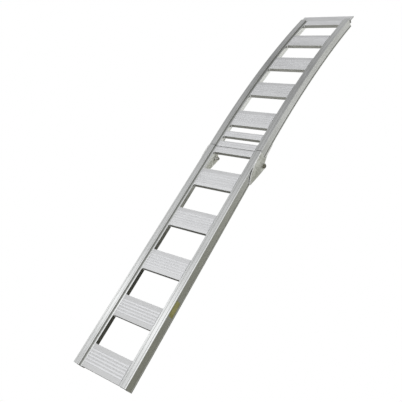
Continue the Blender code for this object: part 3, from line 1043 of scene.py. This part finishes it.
def bead_group():
    """A row of scallops along each edge of the object, turned to follow it."""
    inputs = {"Pitch": "Float", "Radius": "Float", "Seed": "Int", "Metal": "Material"}
    tree, given = node_group("weld_bead", inputs)
    path = tree.add("GeometryNodeMeshToCurve", {"Mesh": given["Geometry"]})
    path = tree.add(
        "GeometryNodeResampleCurve", {"Curve": path, "Length": given["Pitch"]}, mode="LENGTH"
    )
    size = {"Segments": 8, "Rings": 5, "Radius": given["Radius"]}
    scallop = tree.add("GeometryNodeMeshUVSphere", size)
    tangent = tree.add("GeometryNodeInputTangent")
    turn = tree.add("FunctionNodeAlignRotationToVector", {"Vector": tangent}, axis="Z")
    uneven = tree.add(
        "FunctionNodeRandomValue", {2: 0.86, 3: 1.12, "Seed": given["Seed"]}, 1,
        data_type="FLOAT",
    )
    drift = tree.add(
        "FunctionNodeRandomValue",
        {0: (-0.00018,) * 3, 1: (0.00018,) * 3, "Seed": given["Seed"]},
        data_type="FLOAT_VECTOR",
    )
    path = tree.add("GeometryNodeSetPosition", {"Geometry": path, "Offset": drift})
    flat_scallop = tree.add("ShaderNodeCombineXYZ", {0: uneven, 1: uneven, 2: uneven * 0.72})
    row = {"Points": path, "Instance": scallop, "Rotation": turn, "Scale": flat_scallop}
    beads = tree.add("GeometryNodeInstanceOnPoints", row)
    return close_group(tree, beads, given["Metal"])


def weld_metal():
    """Weld metal: satin ripples with a dusting of grey soot and a few bright spots."""
    finish = Finish("weld_metal")
    place = finish.add("ShaderNodeTexCoord", output="Object")
    soot = finish.step(finish.noise(place, (150, 150, 150), 3, 0.6), 0.45, 0.62)
    pits = finish.noise(place, (1800, 1800, 1800), 2, 0.6)
    colour = finish.mix(soot * 0.2, (1.0, 1.0, 0.99, 1), (0.60, 0.60, 0.58, 1))
    return finish.dress(
        {
            "Base Color": colour,
            "Metallic": 1.0,
            "Roughness": 0.46 + soot * 0.18 + (pits - 0.5) * 0.15,
            "Normal": finish.bump(pits, 0.3, 0.0003),
        }
    )


# The weld lines run just beside the corners that they fill
weld_line = under_rail + BEAD_SINK
weld_paths = {"lower_tread": [], "lower_plate": [], "upper_tread": []}
for name, near, far, _, _ in treads:
    welded = weld_paths["lower_tread" if name.startswith("lower") else "upper_tread"]
    for side, _ in SIDES:
        joint = side * (WIDTH / 2 - SHELF_WIDTH)
        step = (far - near - 2 * TREAD_WELD_INSET) / TREAD_WELD_STOPS
        stops = [near + TREAD_WELD_INSET + step * k for k in range(TREAD_WELD_STOPS + 1)]
        welded.append([station(s, -SHELF_BOTTOM) @ Vector((joint, 0, 0)) for s in stops])
        for edge, reach in ((near, -1), (far, 1)):
            if edge in (FOOT_TREAD_NEAR, TOP_TREAD[1]) or abs(edge - SEAM) < SEAM_MARGIN:
                continue
            corner = (joint - side * BEAD_SINK, reach * BEAD_SINK, 0)
            welded.append([station(edge, v) @ Vector(corner) for v in (-0.0105, -0.018, -0.0262)])
lip_stops = (-LIP_WELD_REACH, 0, LIP_WELD_REACH)
ends = [station(RAILS_END, -SHELF_BOTTOM) @ Vector((x, GAP, 0)) for x in lip_stops]
weld_paths["upper_tread"].append(ends)
for side, _ in SIDES:
    outside = side * (WIDTH / 2 - BEAD_SINK)
    web_face = side * (WIDTH / 2 - WEB_WIDTH)
    slope = [(-0.1245, 0.0162), (-0.1022, 0.0364), (-0.0727, 0.0495), (-0.0404, 0.0581)]
    slope += [(-0.018, 0.0605), (0.028, 0.0605)]
    fillet = outside + side * 0.0012
    weld_paths["lower_plate"].append([bolt_line @ Vector((fillet, y, z)) for y, z in slope])
    for across_at in (outside - side * 0.0010, web_face + side * 0.0010):
        foot = [bolt_line @ Vector((across_at, y, under_rail - 0.0001)) for y in (-0.112, -0.036)]
        weld_paths["lower_tread"].append(foot)
    inner_end = [(-0.122, 0.0155), (-0.0985, 0.0318)]
    weld_paths["lower_tread"].append([bolt_line @ Vector((web_face, y, z)) for y, z in inner_end])
    for across_at in (outside - side * BEAD_SINK, web_face):
        along = [bolt_line @ Vector((across_at, y, weld_line)) for y in (0.046, 0.118)]
        weld_paths["upper_tread"].append(along)
    cross = [web_face + side * 0.004, outside - side * 0.004]
    cross = [bolt_line @ Vector((x, BRACKET_END, weld_line)) for x in cross]
    weld_paths["upper_tread"].append(cross)
weld_bead = bead_group()
weld_finish = weld_metal()
for number, (group, paths) in enumerate(weld_paths.items()):
    work = bmesh.new()
    for path in paths:
        corners = [work.verts.new(place) for place in path]
        for pair in zip(corners, corners[1:]):
            work.edges.new(pair)
    edges = bpy.data.meshes.new("weld_paths")
    work.to_mesh(edges)
    work.free()
    holder = add_object("weld_paths", edges)
    pitch, radius = BEAD_PITCH, BEAD_RADIUS
    if group == "lower_plate":
        pitch, radius = HEAVY_PITCH, HEAVY_RADIUS
    sizes = {"Pitch": pitch, "Radius": radius, "Seed": number, "Metal": weld_finish}
    beads = run_group(holder, weld_bead, sizes)
    bpy.data.objects.remove(holder)
    body = group.split("_")[0] + "_section"
    finish_piece(group + "_weld_beads", beads, Matrix(), body, [], 60)


# Sticker: a blank yellow vinyl label in the recess of the lower right rail, near the foot.
LABEL_MIDDLE = 0.355
LABEL_LENGTH = 0.070
LABEL_HEIGHT = 0.030
LABEL_THICK = 0.0002
LABEL_CORNER = 0.004
LABEL_DEPTH = 0.024


def vinyl():
    """Printed vinyl: faded olive yellow, rubbed pale along its scratches."""
    finish = Finish("label_vinyl")
    place = finish.add("ShaderNodeTexCoord", output="Object")
    fade = finish.noise(place, (40, 25, 60), 3, 0.6)
    rubbed = finish.step(finish.noise(place, (200, 900, 200), 2, 0.6), 0.62, 0.70)
    olive, mustard = (0.36, 0.34, 0.11, 1), (0.50, 0.47, 0.20, 1)
    colour = finish.mix(finish.step(fade, 0.35, 0.65), olive, mustard)
    colour = finish.mix(rubbed * 0.5, colour, (0.58, 0.56, 0.40, 1))
    return finish.dress(
        {
            "Base Color": colour,
            "Roughness": 0.38 + rubbed * 0.25,
            "Normal": finish.bump(fade, 0.1, 0.0003),
        }
    )


half = (LABEL_LENGTH / 2, LABEL_HEIGHT / 2)
corners = [(x * half[0], y * half[1], LABEL_CORNER) for x, y in SQUARE]
label_mesh = cut_plate("label", [rounded(corners, 6)], LABEL_THICK, burr=0.00005)
coat(label_mesh, vinyl())
face = Matrix.Translation((WIDTH / 2 - RECESS + LABEL_THICK / 2, LABEL_MIDDLE, -LABEL_DEPTH))
finish_piece(
    "blank_label", label_mesh, standing @ face @ sideways_on, "lower_section", []
)
